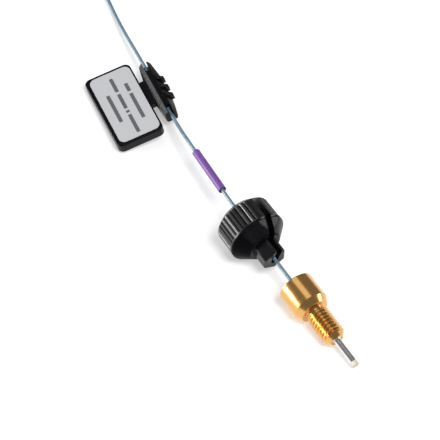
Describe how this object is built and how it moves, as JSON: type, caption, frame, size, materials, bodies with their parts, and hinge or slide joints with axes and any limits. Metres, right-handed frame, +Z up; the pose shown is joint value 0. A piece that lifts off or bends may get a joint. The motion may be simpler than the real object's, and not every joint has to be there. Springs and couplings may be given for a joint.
{
  "type": "hplc capillary",
  "caption": "Thin sheathed capillary tube with a finger-tight threaded fitting at each end, a clip-on label plate and its spare length tied in a coil.",
  "frame": {"origin": "on the surface, below the middle of the near fitting, colour sleeve and tag taken together", "axes": "+X along the near fitting towards its tip, +Z up"},
  "size_m": [0.1794, 0.0262, 0.0128],
  "materials": {
    "sheath": "smooth satin blue-grey sheath",
    "steel": "polished turned steel",
    "seal": "smooth cream polymer",
    "brass": "turned gold-coloured brass",
    "knob": "moulded black plastic",
    "colour_sleeve": "soft violet plastic",
    "tag": "moulded black plastic",
    "label": "light grey printed film",
    "tie": "natural white plastic"
  },
  "bodies": {
    "capillary": {"near_tip_sleeve": "steel", "near_seal_ring": "seal", "near_core": "steel", "capillary_run": "sheath", "capillary_coil": "sheath", "coil_tie_1": "tie", "coil_tie_2": "tie", "capillary_tail": "sheath", "far_tip_sleeve": "steel", "far_seal_ring": "seal", "far_core": "steel"},
    "near_screw": {"near_screw": "brass"},
    "near_knob": {"near_knob": "knob"},
    "size_sleeve": {"size_sleeve": "colour_sleeve"},
    "tag": {"tag_clip": "tag", "tag_label": "label"},
    "far_screw": {"far_screw": "brass"},
    "far_knob": {"far_knob": "knob"}
  },
  "joints": [
    {"name": "near_screw_spin", "type": "hinge", "parent": "capillary", "child": "near_screw", "pos_m": [0.03269, -0.00018, 0.0036], "axis": [0.9924, 0, -0.1229], "continuous": true},
    {"name": "near_knob_slide", "type": "slide", "parent": "near_screw", "child": "near_knob", "axis": [0.9924, 0, -0.1229], "range_m": [-0.0015, 0.0106]},
    {"name": "size_sleeve_slide", "type": "slide", "parent": "capillary", "child": "size_sleeve", "axis": [0.9909, -0.1207, 0.0596], "range_m": [-0.0016, 0.0048]},
    {"name": "tag_swivel", "type": "hinge", "parent": "capillary", "child": "tag", "pos_m": [-0.03498, 0.006, 0.00379], "axis": [0.981, -0.1908, 0.0341], "continuous": true},
    {"name": "far_screw_spin", "type": "hinge", "parent": "capillary", "child": "far_screw", "pos_m": [-0.11786, 0.01117, 0.00386], "axis": [-0.9759, 0, -0.218], "continuous": true},
    {"name": "far_knob_slide", "type": "slide", "parent": "far_screw", "child": "far_knob", "axis": [-0.9759, 0, -0.218], "range_m": [-0.0025, 0]}
  ]
}
